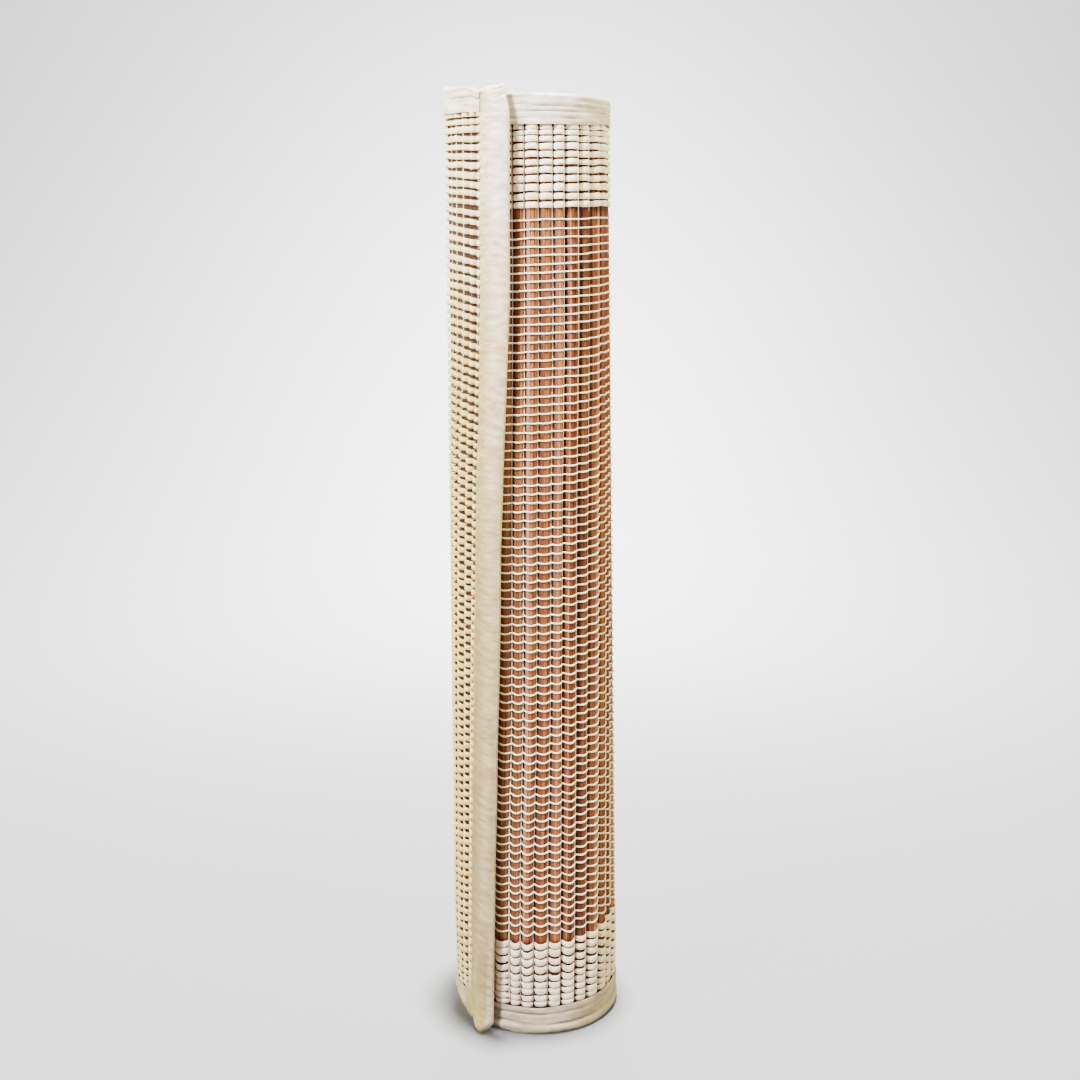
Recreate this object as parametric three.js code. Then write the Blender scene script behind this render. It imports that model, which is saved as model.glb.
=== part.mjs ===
// A grass mat bound in cotton tape, rolled up and stood on its end.
// Millimetres, +Z up. The origin is at the foot, in the middle of the roll's outer box.
// Each piece is shaped flat, as it is sewn, and rollUp then winds it into the spiral.
import * as THREE from "three";

// The mat as it lies flat: s runs along it from the free end, d is out of its face, z is across it.
const matHeight = 604; // across the mat, from bound edge to bound edge
const matThickness = 3.6;
const edgeThickness = 1.4; // where the stalks are pressed flat inside the tape
const tapeWidth = 18.6;
const tapeThickness = 0.9;
const gap = 0.3; // between sewn pieces
const stationClearance = 0.2; // least share of the tape's width from a piece's end to a station

// The roll.
const stationsPerTurn = 18;
const stations = 150; // steps of the winding, 8 1/3 turns, which take up 1.83 m of mat
const footRadius = 55.95; // middle of the sheet at the free end, at the foot
const topRadius = 52.35;
const footPitch = 4.96; // from one turn to the next, looser at the foot
const topPitch = 4.3;
const freeEndLift = 4.6; // how far the free end springs away from the roll
const liftFades = 18; // along the mat
const leanToLeft = 6; // of the top, from the middle of the foot
const freeEndAngle = -11.3; // at the top, in degrees from the front towards the right
const bends = [0.44, 0.76]; // shares of the height at which the sheet's faces bend
const boxCentre = { x: -2.415, y: -1.567 }; // from the middle of the foot

// How far the free end has slid round the roll, in degrees, down its height.
const freeEndSlide = [
  { height: 0, slide: -18.5 },
  { height: 0.15, slide: -15.4 },
  { height: 0.44, slide: -10.0 },
  { height: 0.61, slide: -7.0 },
  { height: 0.76, slide: -2.0 },
  { height: 1, slide: 0 },
];

// What share of that slide each part of the winding has, in degrees of winding from the free end.
const slideShare = [
  { wound: 0, share: 1 },
  { wound: 260, share: 0.92 },
  { wound: 340, share: 0.48 },
  { wound: 440, share: 0.27 },
];

// Where the two bound edges lie. The first half turn stands clear of the floor at the side.
const edges = [
  { wound: 0, foot: 0, top: 608 },
  { wound: 14, foot: 1, top: 608.6 },
  { wound: 24, foot: 5, top: 609.2 },
  { wound: 36, foot: 9.5, top: 610 },
  { wound: 50, foot: 12.5, top: 610 },
  { wound: 90, foot: 12, top: 609.5 },
  { wound: 150, foot: 4.5, top: 608 },
  { wound: 210, foot: 0, top: 606 },
  { wound: 270, foot: 0, top: 604 },
];

const degrees = Math.PI / 180;
const midRadius = (footRadius + topRadius) / 2;
const midPitch = (footPitch + topPitch) / 2;
const totalWinding = (stations / stationsPerTurn) * 360 * degrees;
const matLength = lengthAt(totalWinding);

// Straight-line interpolation in a table sorted by its first column.
function lookUp(table, column, wanted, at) {
  const next = table.findIndex((row) => row[column] > at);
  if (next === 0) return table[0][wanted];
  if (next < 0) return table[table.length - 1][wanted];
  const [a, b] = [table[next - 1], table[next]];
  return THREE.MathUtils.mapLinear(at, a[column], b[column], a[wanted], b[wanted]);
}

// The length of mat taken up by a winding, at half height, and the other way round.
function lengthAt(winding) {
  return midRadius * winding - (midPitch * winding ** 2) / (4 * Math.PI);
}

function windingAt(s) {
  const root = Math.sqrt(midRadius ** 2 - (midPitch * s) / Math.PI);
  return ((midRadius - root) * 2 * Math.PI) / midPitch;
}

// Moves a point of the flat mat to its place in the standing roll.
function rolled(s, d, z) {
  const winding = windingAt(s);
  const wound = winding / degrees;
  const height = z / matHeight;
  const { lerp } = THREE.MathUtils;
  const slide = lookUp(freeEndSlide, "height", "slide", height);
  const share = lookUp(slideShare, "wound", "share", wound);
  const angle = (freeEndAngle + slide * share) * degrees - winding;
  const turnRadius = lerp(footRadius, topRadius, height);
  const pitch = lerp(footPitch, topPitch, height);
  const lift = freeEndLift * Math.exp(-s / liftFades);
  const radius = turnRadius - (pitch * winding) / (2 * Math.PI) + lift + d;
  const foot = lookUp(edges, "wound", "foot", wound);
  const top = lookUp(edges, "wound", "top", wound);
  return new THREE.Vector3(
    radius * Math.sin(angle) - leanToLeft * height - boxCentre.x,
    -radius * Math.cos(angle) - boxCentre.y,
    lerp(foot, top, height),
  );
}

// Winds a flat geometry up. placeOf turns one of its vertices into its s, d and z.
function rollUp(geometry, placeOf) {
  const position = geometry.attributes.position;
  const vertex = new THREE.Vector3();
  for (let i = 0; i < position.count; i++) {
    vertex.fromBufferAttribute(position, i);
    const place = rolled(...placeOf(vertex));
    position.setXYZ(i, place.x, place.y, place.z);
  }
  geometry.computeVertexNormals();
  return geometry;
}

// The places along the mat where a piece has a row of vertices: its ends and the stations between.
function alongMat(from, to) {
  const places = [from];
  for (let i = 1; i < stations; i++) {
    const s = lengthAt((i / stationsPerTurn) * 360 * degrees);
    const clear = stationClearance * Math.min(tapeWidth, matLength - s);
    if (s > from + clear && s < to - clear) places.push(s);
  }
  places.push(to);
  return places;
}

// The mat: full thickness in the middle, and pressed flat along all four edges.
function wovenMat() {
  const inside = tapeThickness + gap;
  const shoulder = tapeWidth + gap;
  const thin = edgeThickness / 2;
  const full = matThickness / 2;
  const bands = (from, to) => alongMat(from, to).map((s) => ({ s, half: thin }));
  const columns = [
    ...bands(inside, shoulder),
    ...alongMat(shoulder, matLength - shoulder).map((s) => ({ s, half: full })),
    ...bands(matLength - shoulder, matLength - inside),
  ];
  const rows = [
    { z: inside, half: thin },
    { z: shoulder, half: thin },
    { z: shoulder, half: full },
    ...bends.map((height) => ({ z: height * matHeight, half: full })),
    { z: matHeight - shoulder, half: full },
    { z: matHeight - shoulder, half: thin },
    { z: matHeight - inside, half: thin },
  ];
  const sheet = new THREE.BoxGeometry(
    columns.length - 1, 2, rows.length - 1, columns.length - 1, 1, rows.length - 1,
  );
  return rollUp(sheet, (vertex) => {
    const column = columns[Math.round(vertex.x + (columns.length - 1) / 2)];
    const row = rows[Math.round(vertex.z + (rows.length - 1) / 2)];
    return [column.s, vertex.y * Math.min(column.half, row.half), row.z];
  });
}

// A tape folded over an edge: its section is a U with walls of one thickness.
const tapeOuter = edgeThickness / 2 + gap + tapeThickness;
const tapeInner = edgeThickness / 2 + gap;

// The tape along the foot (side 0) or the top (side 1).
function longBinding(side) {
  const across = (depth) => (side === 0 ? depth : matHeight - depth);
  const outline = new THREE.Shape([
    new THREE.Vector2(-tapeOuter, across(0)),
    new THREE.Vector2(tapeOuter, across(0)),
    new THREE.Vector2(tapeOuter, across(tapeWidth)),
    new THREE.Vector2(tapeInner, across(tapeWidth)),
    new THREE.Vector2(tapeInner, across(tapeThickness)),
    new THREE.Vector2(-tapeInner, across(tapeThickness)),
    new THREE.Vector2(-tapeInner, across(tapeWidth)),
    new THREE.Vector2(-tapeOuter, across(tapeWidth)),
  ]);
  const from = tapeWidth + gap;
  const places = alongMat(from, matLength - from);
  const steps = places.length - 1;
  const tape = new THREE.ExtrudeGeometry(outline, { depth: steps, steps, bevelEnabled: false });
  return rollUp(tape, (vertex) => [places[Math.round(vertex.z)], vertex.x, vertex.y]);
}

// The tape across the free end (side 0) or the end inside the roll (side 1).
function endBinding(side) {
  const along = (depth) => (side === 0 ? depth : matLength - depth);
  const wall = (d, fold) => {
    const places = alongMat(...[along(fold), along(tapeWidth)].sort((a, b) => a - b));
    if (side === 1) places.reverse();
    return places.map((s) => new THREE.Vector2(s, d));
  };
  const outline = new THREE.Shape([
    ...wall(-tapeOuter, 0),
    ...wall(-tapeInner, tapeThickness).reverse(),
    ...wall(tapeInner, tapeThickness),
    ...wall(tapeOuter, 0).reverse(),
  ]);
  const heights = [0, ...bends, 1];
  const steps = heights.length - 1;
  const tape = new THREE.ExtrudeGeometry(outline, { depth: steps, steps, bevelEnabled: false });
  return rollUp(tape, (vertex) => {
    return [vertex.x, vertex.y, heights[Math.round(vertex.z)] * matHeight];
  });
}

const grass = new THREE.MeshStandardMaterial({ color: 0xb9764a, roughness: 0.6, metalness: 0 });
const cotton = new THREE.MeshStandardMaterial({ color: 0xdccfbc, roughness: 0.9, metalness: 0 });

function piece(name, geometry, material) {
  const mesh = new THREE.Mesh(geometry, material);
  mesh.name = name;
  return mesh;
}

const rolledMat = new THREE.Group();
rolledMat.add(piece("woven_mat", wovenMat(), grass));
rolledMat.add(piece("edge_binding_foot", longBinding(0), cotton));
rolledMat.add(piece("edge_binding_top", longBinding(1), cotton));
rolledMat.add(piece("end_binding_outer", endBinding(0), cotton));
rolledMat.add(piece("end_binding_inner", endBinding(1), cotton));

export default rolledMat;
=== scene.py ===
# A grass mat bound in cotton tape, rolled up and stood on its end, in Blender.
# The roll stands in the frame's own place, in metres. Each piece is first modelled flat,
# in millimetres, as it would be woven and sewn: x runs along the mat from the free end,
# y comes out of its face and z goes across it. rollUp then winds the piece into the spiral.
import math

import bpy
import numpy as np
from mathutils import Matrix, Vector


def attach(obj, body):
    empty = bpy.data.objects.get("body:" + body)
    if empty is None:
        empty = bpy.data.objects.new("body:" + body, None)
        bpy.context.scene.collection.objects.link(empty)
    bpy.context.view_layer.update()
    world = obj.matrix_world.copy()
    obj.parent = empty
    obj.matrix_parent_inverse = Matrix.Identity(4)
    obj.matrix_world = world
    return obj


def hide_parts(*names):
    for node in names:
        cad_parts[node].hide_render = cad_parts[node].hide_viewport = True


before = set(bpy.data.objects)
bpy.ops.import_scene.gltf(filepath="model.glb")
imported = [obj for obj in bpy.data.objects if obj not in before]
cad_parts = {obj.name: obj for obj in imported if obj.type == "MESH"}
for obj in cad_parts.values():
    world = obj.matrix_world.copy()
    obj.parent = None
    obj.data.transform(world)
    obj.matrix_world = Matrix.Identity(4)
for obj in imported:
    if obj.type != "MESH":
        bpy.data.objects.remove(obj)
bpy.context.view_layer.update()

mm = 0.001

roll = {
    "matHeight": 604.0,  # from one long bound edge to the other
    "turns": 150 / 18,
    "footRadius": 55.95,  # middle of the sheet at the free end, at the foot
    "topRadius": 52.35,
    "footPitch": 4.96,  # from one turn to the next, looser at the foot
    "topPitch": 4.3,
    "freeEndLift": 4.6,  # how far the free end springs away from the roll
    "liftFades": 18.0,  # along the mat
    "prouderFoot": 0.8,  # the weave bulges a little more where the roll is looser
    "prouderAbove": (12, 70),
    "leanToLeft": 6.0,  # of the top, from the middle of the foot
    "freeEndAngle": -11.3,  # at the top, in degrees from the front towards the right
    "boxCentre": (-2.415, -1.567),  # from the middle of the foot
    "slideRounding": 0.06,  # of the corners in the next three tables
    "shareRounding": 20,
    "edgeRounding": 8,
}


# A table, as a list of rows whose values are named by its columns.
def table(columns, *rows):
    return [dict(zip(columns.split(), row)) for row in rows]


# How far the free end has slid round the roll, in degrees, down its height.
freeEndSlide = table(
    "height slide",
    (0, -18.5), (0.15, -15.4), (0.44, -10), (0.61, -7), (0.76, -2), (1, 0),
)

# What share of that slide each part of the winding has, in degrees from the free end.
slideShare = table(
    "wound share",
    (0, 1), (260, 0.92), (340, 0.48), (440, 0.27),
)

# Where the two long edges lie. The first half turn stands clear of the floor at the side.
edges = table(
    "wound foot top",
    (0, 0, 608), (14, 1, 608.6), (24, 5, 609.2), (36, 9.5, 610), (50, 12.5, 610),
    (90, 12, 609.5), (150, 4.5, 608), (210, 0, 606), (270, 0, 604),
)

matHeight = roll["matHeight"]
midRadius = (roll["footRadius"] + roll["topRadius"]) / 2
midPitch = (roll["footPitch"] + roll["topPitch"]) / 2


def lengthAt(winding):
    return midRadius * winding - midPitch * winding**2 / (4 * math.pi)


matLength = lengthAt(roll["turns"] * 2 * math.pi)


def windingAt(s):
    root = np.sqrt(midRadius**2 - midPitch * s / math.pi)
    return (midRadius - root) * 2 * math.pi / midPitch


def between(low, high, share):
    return low + (high - low) * share


# Goes smoothly from 0 at the first place to 1 at the second.
def rise(x, start, end):
    share = np.clip((x - start) / (end - start), 0, 1)
    return share * share * (3 - 2 * share)


def fall(x, start, end):
    return 1 - rise(x, start, end)


# A local form, which comes in over the stretches past and above and fades over until and
# below. Past and until are places along the mat, above and below are heights.
def form(by, **stretches):
    return dict(stretches, by=by)


# The sum of some local forms at each place.
def formsAt(forms, s, z=0.0):
    total = 0.0
    ways = (("past", rise, s), ("until", fall, s), ("above", rise, z), ("below", fall, z))
    for one in forms:
        amount = one["by"]
        for stretch, change, x in ways:
            if stretch in one:
                amount = amount * change(x, *one[stretch])
        total = total + amount
    return total


# Looks values up in a table, with its corners rounded over the given width.
def lookUp(given, column, wanted, at, rounding):
    across = [row[column] for row in given]
    values = [row[wanted] for row in given]
    steps = (-1, -0.5, 0, 0.5, 1)
    return sum(np.interp(at + rounding * step, across, values) for step in steps) / len(steps)


# Smooth seeded waves between -1 and 1, whose bumps are about one length long and wide.
def waves(seed, x, xLength, y=0.0, yLength=1.0):
    lattice = np.random.default_rng(seed).uniform(-1, 1, (256, 256))
    xCell = np.floor(x / xLength).astype(int)
    yCell = np.floor(y / yLength).astype(int)
    xShare = rise(x / xLength - xCell, 0, 1)
    yShare = rise(y / yLength - yCell, 0, 1)
    sides = []
    for row in (yCell % 256, (yCell + 1) % 256):
        sides.append(between(lattice[xCell % 256, row], lattice[(xCell + 1) % 256, row], xShare))
    return between(sides[0], sides[1], yShare)


# The place in the standing roll, in metres, of points on the flat mat.
def rolled(flat):
    s, d, z = flat.T
    height = z / matHeight
    winding = windingAt(s)
    wound = np.degrees(winding)
    slide = lookUp(freeEndSlide, "height", "slide", height, roll["slideRounding"])
    share = lookUp(slideShare, "wound", "share", wound, roll["shareRounding"])
    angle = np.radians(roll["freeEndAngle"] + slide * share) - winding
    turnRadius = between(roll["footRadius"], roll["topRadius"], height)
    pitch = between(roll["footPitch"], roll["topPitch"], height)
    lift = roll["freeEndLift"] * np.exp(-np.maximum(s, 0) / roll["liftFades"])
    prouder = roll["prouderFoot"] * (1 - height) * rise(z, *roll["prouderAbove"])
    radius = turnRadius - pitch * winding / (2 * math.pi) + lift + d + prouder
    foot = lookUp(edges, "wound", "foot", wound, roll["edgeRounding"])
    top = lookUp(edges, "wound", "top", wound, roll["edgeRounding"])
    x = radius * np.sin(angle) - roll["leanToLeft"] * height - roll["boxCentre"][0]
    y = -radius * np.cos(angle) - roll["boxCentre"][1]
    up = np.maximum(between(foot, top, height), 0)
    return np.stack([x, y, up], axis=1) * mm


def pointsOf(piece):
    flat = np.empty(len(piece.data.vertices) * 3)
    piece.data.vertices.foreach_get("co", flat)
    return flat.reshape(-1, 3)


def movePoints(piece, places):
    piece.data.vertices.foreach_set("co", np.ascontiguousarray(places, dtype=float).ravel())
    piece.data.update()


# Keeps a number or a vector for each point, for the materials.
def keep(piece, name, values):
    values = np.asarray(values, dtype=float)
    kind = "FLOAT" if values.ndim == 1 else "FLOAT_VECTOR"
    slot = piece.data.attributes.get(name) or piece.data.attributes.new(name, kind, "POINT")
    slot.data.foreach_set("value" if kind == "FLOAT" else "vector", values.ravel())


def select(*pieces):
    bpy.ops.object.select_all(action="DESELECT")
    for piece in pieces:
        piece.select_set(True)
    bpy.context.view_layer.objects.active = pieces[0]


# Joins pieces into the first of them, under the given name.
def joinAll(name, pieces):
    select(*pieces)
    if len(pieces) > 1:
        bpy.ops.object.join()
    pieces[0].name = name
    return pieces[0]


# Turns a closed piece's faces outwards, once any open ends with so many sides are filled.
def closeUp(piece, sides=0):
    select(piece)
    bpy.ops.object.mode_set(mode="EDIT")
    bpy.ops.mesh.select_all(action="SELECT")
    if sides:
        bpy.ops.mesh.fill_holes(sides=sides)
    bpy.ops.mesh.normals_make_consistent(inside=False)
    bpy.ops.object.mode_set(mode="OBJECT")


def applyModifier(piece, kind, **settings):
    select(piece)
    modifier = piece.modifiers.new(kind.title(), kind)
    for name, value in settings.items():
        setattr(modifier, name, value)
    bpy.ops.object.modifier_apply(modifier=modifier.name)


# Winds a flat piece into the roll, and gives it its material.
def rollUp(piece, material, smoothAngle=60):
    flat = pointsOf(piece)
    keep(piece, "flat", flat)
    movePoints(piece, rolled(flat))
    piece.data.materials.clear()
    piece.data.materials.append(material)
    select(piece)
    bpy.ops.object.shade_smooth_by_angle(angle=math.radians(smoothAngle))
    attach(piece, "root")


# A flat grid, with the shares of its length and its width at which its points lie.
def makeGrid(name, columns, rows):
    bpy.ops.mesh.primitive_grid_add(x_subdivisions=columns, y_subdivisions=rows, size=2)
    piece = bpy.context.object
    piece.name = name
    shares = (pointsOf(piece) + 1) / 2
    return piece, shares[:, 0], shares[:, 1]


# The mat's outline near the free end.
outline = {
    "topCorner": [form(-5.5, until=(-2, 7), above=(580, 604))],
    "footCorner": [form(7.5, until=(-1, 6), below=(0, 16))],
    "footNotch": [form(2.4, past=(9, 17), until=(18, 22), below=(0, 14))],
    # The top edge dips to the notch beside the end tape, and stands higher at the left side.
    "topDips": [
        form(1.3, until=(38, 52)),
        form(3.2, until=(19, 27)),
        form(-2.2, past=(48, 66), until=(95, 130)),
    ],
    "dipAbove": (580, 602),
}


# Rounds the mat's top corner at the free end off, and draws its foot corner to a point.
def cornered(s, z):
    for part in ("topCorner", "footCorner", "footNotch"):
        z = z + formsAt(outline[part], s, z)
    return z


# How far the mat itself follows its top edge down.
def dipped(s, z):
    return formsAt(outline["topDips"], s) * rise(z, *outline["dipAbove"])


# A tube of unit radius along x, made of equal steps, with its two ends closed.
def makeTube(name, sides, steps, length):
    bpy.ops.mesh.primitive_cylinder_add(
        vertices=sides, radius=1, depth=length / steps, end_fill_type="NOTHING",
        rotation=(0, math.pi / 2, 0), location=(length / steps / 2, 0, 0),
    )
    piece = bpy.context.object
    piece.name = name
    bpy.ops.object.transform_apply(location=True, rotation=True, scale=True)
    applyModifier(
        piece, "ARRAY", count=steps, use_relative_offset=False, use_constant_offset=True,
        constant_offset_displace=(length / steps, 0, 0), use_merge_vertices=True,
        merge_threshold=length / steps / 100,
    )
    closeUp(piece, sides)
    return piece


# One piece, joined from a shaped copy of the template for each shaping.
def copyAndJoin(name, template, shapings):
    copies = []
    start = pointsOf(template)
    for shaping in shapings:
        copy = bpy.data.objects.new(name, template.data.copy())
        bpy.context.collection.objects.link(copy)
        places, tone = shaping(start.copy())
        movePoints(copy, places)
        keep(copy, "tone", np.zeros(len(places)) + tone)
        copies.append(copy)
    bpy.data.objects.remove(template)
    return joinAll(name, copies)


camera = {
    "place": (0.0037, -0.9138, 0.4904),
    "lookDown": 9.03,  # degrees
    "lens": 46.67, "sensor": 36, "shift": -0.03,
}
tilt = math.radians(90 - camera["lookDown"])
bpy.ops.object.camera_add(location=camera["place"], rotation=(tilt, 0, 0))
viewer = bpy.context.object
viewer.data.lens = camera["lens"]
viewer.data.sensor_width = camera["sensor"]
viewer.data.shift_y = camera["shift"]
viewer.data.clip_start = 0.01
viewer.data.dof.use_dof = False
bpy.context.scene.camera = viewer
print("camera set")

# The weave: the outermost turn and a little more, by bundles of stalks.
weave = {
    "firstBundle": 17.5,  # from the free end
    "bundle": 9.68,
    "uneven": 0.08,  # share of a bundle's width
    "bundles": 37,
    "endBorder": 7,  # bundles wrapped in thick rows over the whole height
    "crest": 1.15,  # out of the middle of the sheet
    "crestUneven": 0.45,
    "fieldFoot": 64.4,
    "fieldTop": 535.9,
    "firstThin": 70.4,  # height of the lowest thin row
    "lastThin": 529.5,
    "thinRows": 84,
    "tape": 18.6,
    "tapeFold": 1.0,  # more of its width goes round the mat's edge
    "endSlit": 2.15,
    "endRows": 85,  # thick rows beside the field, at the free end
}

# The bundles beside the end tape, and those that face the front, by their widths.
endBundles = [5.4, 6.0, 8.7, 9.2]
frontBundles = {"first": 25, "widths": [11.7, 9.6, 11.1, 7.9, 9.4, 9.0, 7.7]}

# The thick rows of each long border, by their pitches from the field outwards, and the slits
# that are left open between them.
footBorder = [5.3, 5.8, 5.75, 5.6, 5.5, 4.85, 4.6, 4.7, 4.8]
footSlits = [1.27, 1.35, 1.35, 1.35, 1.3, 0.6, 0.5, 0.5, 0.55]
topBorder = [4.9, 5.1, 5.65, 5.1, 5.0, 4.4, 4.6, 4.8, 4.1, 3.2, 6.0]
topSlits = [1.25, 1.3, 1.35, 1.3, 1.25, 1.15, 1.15, 1.1, 0.8, 0.4, 0.4]
lowBorder = [5.0, 5.0]  # two more at the foot, where the tape stands clear of the floor
lowSlits = [1.1, 1.1]

bundles = weave["bundles"]
fieldFoot, fieldTop = weave["fieldFoot"], weave["fieldTop"]


def bundleWidths():
    random = np.random.default_rng(4)
    made = weave["bundle"] * (1 + weave["uneven"] * random.uniform(-1, 1, bundles))
    first = frontBundles["first"]
    made[: len(endBundles)] = endBundles
    lead = made[len(endBundles) : first]
    lead *= (first * weave["bundle"] - sum(endBundles)) / lead.sum()
    made[first : first + len(frontBundles["widths"])] = frontBundles["widths"]
    return made


widths = bundleWidths()
valleys = weave["firstBundle"] + np.concatenate([[0], np.cumsum(widths)])
crests = weave["crestUneven"] * np.random.default_rng(5).uniform(-1, 1, bundles)
crests = weave["crest"] + crests


# Which bundle a place along the mat is in, and how far across it, from 0 to 1.
def bundleAt(s):
    index = np.clip(np.searchsorted(valleys, s, side="right") - 1, 0, bundles - 1)
    return index, (s - valleys[index]) / widths[index]


# How far out of the sheet a layer lies: one rounded hump over each bundle, from valley to
# valley, which stays by the layer's drop under the crest.
def hump(s, layer):
    index, across = bundleAt(s)
    arch = 1 - np.abs(2 * np.clip(across, 0, 1) - 1) ** layer["squareness"]
    return layer["valley"] + (crests[index] - layer["drop"] - layer["valley"]) * arch


# The thick rows of a border, counted from the field outwards.
def borderRows(edge, pitches, direction, slits):
    made = []
    for pitch, slit in zip(pitches, slits):
        made.append({"z": edge + direction * pitch / 2, "width": pitch - slit})
        edge += direction * pitch
    return made


def fieldRows(count, first, last, width):
    return [{"z": z, "width": width} for z in np.linspace(first, last, count)]


# Low down, the bundles lie a little further from the free end: those next to its tape, and
# those of the turn that comes out from under it.
slips = [
    form(3.6, past=(17, 40), until=(70, 140), below=(330, 470)),
    form(1.8, past=(294, 304), until=(345, 385), below=(100, 230)),
    form(1.8, past=(322, 336), until=(345, 385), below=(100, 230)),
]


def slipped(s, d, z):
    return np.stack([s + formsAt(slips, s, z), d, z], axis=1)


longBorders = borderRows(fieldFoot, footBorder, -1, footSlits)
longBorders += borderRows(fieldTop, topBorder, 1, topSlits)
lowRows = borderRows(fieldFoot - sum(footBorder), lowBorder, -1, lowSlits)
thinRows = fieldRows(weave["thinRows"], weave["firstThin"], weave["lastThin"], 0)
endPitch = (fieldTop - fieldFoot) / weave["endRows"]
endRows = fieldRows(
    weave["endRows"], fieldFoot + endPitch / 2, fieldTop - endPitch / 2,
    endPitch - weave["endSlit"],
)


# A colour as a shader wants it, from red, green and blue between 0 and 255.
def paint(red, green, blue):
    parts = [channel / 255 for channel in (red, green, blue)]
    linear = [part / 12.92 if part < 0.04 else ((part + 0.055) / 1.055) ** 2.4 for part in parts]
    return (*linear, 1)


bench = {}  # the material that the functions below add their nodes to


# A new material, with its shader's plain values set.
def makeMaterial(name, roughness, sheen=0.0, specular=0.3):
    material = bpy.data.materials.new(name)
    material.use_nodes = True
    shader = material.node_tree.nodes["Principled BSDF"]
    plain = {"Roughness": roughness, "Specular IOR Level": specular, "Sheen Weight": sheen}
    for socket, value in (plain | {"Sheen Roughness": 0.6}).items():
        shader.inputs[socket].default_value = value
    bench.update(tree=material.node_tree, shader=shader)
    return material


# Adds a node. An input is either a value or the output socket that feeds it.
def addNode(kind, inputs, **settings):
    node = bench["tree"].nodes.new("ShaderNode" + kind)
    for name, value in settings.items():
        setattr(node, name, value)
    for name, value in inputs.items():
        if isinstance(value, bpy.types.NodeSocket):
            bench["tree"].links.new(value, node.inputs[name])
        else:
            node.inputs[name].default_value = value
    return node


# The place on the flat mat in millimetres, stretched by the given scale.
def flatPlace(scale=(1, 1, 1)):
    place = addNode("Attribute", {}, attribute_name="flat").outputs["Vector"]
    return addNode("Mapping", {"Vector": place, "Scale": scale}).outputs["Vector"]


# A noise over the flat mat, as a number around a half.
def noise(size, stretch=(1, 1, 1), detail=3.0, roughness=0.55):
    place = flatPlace([share / size for share in stretch])
    inputs = {"Vector": place, "Scale": 1.0, "Detail": detail, "Roughness": roughness}
    return addNode("TexNoise", inputs).outputs["Fac"]


# A number mapped from one range to another, and held to the second.
def remap(value, low, high, newLow, newHigh):
    inputs = {"Value": value, "From Min": low, "From Max": high}
    inputs.update({"To Min": newLow, "To Max": newHigh})
    return addNode("MapRange", inputs).outputs["Result"]


# A colour that changes with a number. Each stop is its place and its red, green and blue.
def ramp(value, *stops):
    made = addNode("ValToRGB", {"Fac": value})
    spots = made.color_ramp.elements
    while len(spots) < len(stops):
        spots.new(0.5)
    for spot, (place, *colour) in zip(spots, stops):
        spot.position = place
        spot.color = paint(*colour)
    return made.outputs["Color"]


def blend(share, first, second, kind="MIX"):
    inputs = {"Fac": share, "Color1": first, "Color2": second}
    return addNode("MixRGB", inputs, blend_type=kind).outputs["Color"]


def combine(kind, first, second):
    return addNode("Math", {0: first, 1: second}, operation=kind).outputs["Value"]


def attribute(name):
    return addNode("Attribute", {}, attribute_name=name).outputs["Fac"]


# One coordinate of the place on the flat mat.
def partOf(axis):
    place = addNode("Attribute", {}, attribute_name="flat").outputs["Vector"]
    return addNode("SeparateXYZ", {"Vector": place}).outputs[axis]


def feedShader(name, output):
    bench["tree"].links.new(output, bench["shader"].inputs[name])


# Gives the material its colour, and a fine relief of the given depth in millimetres.
def coverWith(colour, relief, depth, strength):
    bump = addNode("Bump", {"Height": relief, "Distance": depth * mm, "Strength": strength})
    feedShader("Base Color", colour)
    feedShader("Normal", bump.outputs["Normal"])


bandPeriod = 0.314  # of the wave texture at a scale of one


# Even ridges across one direction of the flat mat, at the given spacing.
def ridges(direction, spacing, distortion=0.0):
    stretch = [0.0, 0.0, 0.0]
    stretch["xyz".index(direction)] = 1.0
    inputs = {"Vector": flatPlace(stretch), "Scale": bandPeriod / spacing}
    inputs["Distortion"] = distortion
    return addNode("TexWave", inputs, bands_direction=direction.upper()).outputs["Fac"]


# Cream cotton tape: plain weave and soft mottling; darker and yellower low down, partly painted
# shade, with painted olive shade where it slopes or turns away and a painted highlight along the
# end tape's fold.
def makeTapeMaterial():
    material = makeMaterial("cottonTape", 0.85, sheen=0.15, specular=0.2)
    height = remap(partOf("Z"), 0, matHeight, 0, 1)
    # Darker and yellower low down: partly painted shade of the lower roll.
    cream = ramp(
        height,
        (0.033, 178, 163, 142), (0.05, 165, 147, 118), (0.2, 157, 136, 100),
        (0.5, 173, 153, 112), (0.75, 196, 180, 146), (0.92, 216, 208, 195),
    )
    mottles = remap(noise(3.5, stretch=(0.3, 1, 1), detail=4.0), 0.35, 0.65, 0.0, 0.9)
    worn = blend(mottles, cream, paint(198, 188, 170), "MULTIPLY")
    # Above zero its tone is painted olive shade, below zero a painted highlight.
    tone = attribute("tone")
    paintedYellowShade = remap(tone, 0, 1, 0, 1)
    paintedFoldHighlight = remap(tone, -1, 0, 0.7, 0)  # painted highlight along the fold
    olive = blend(paintedYellowShade, worn, paint(190, 183, 76), "MULTIPLY")
    edged = blend(paintedFoldHighlight, olive, paint(255, 230, 140))
    crossings = combine("MULTIPLY", ridges("x", 0.55), ridges("z", 0.55))
    folds = noise(3.0, stretch=(0.35, 1, 1))
    relief = combine("ADD", combine("MULTIPLY", crossings, 0.12), folds)
    coverWith(edged, relief, 0.85, 0.9)
    return material
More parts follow.
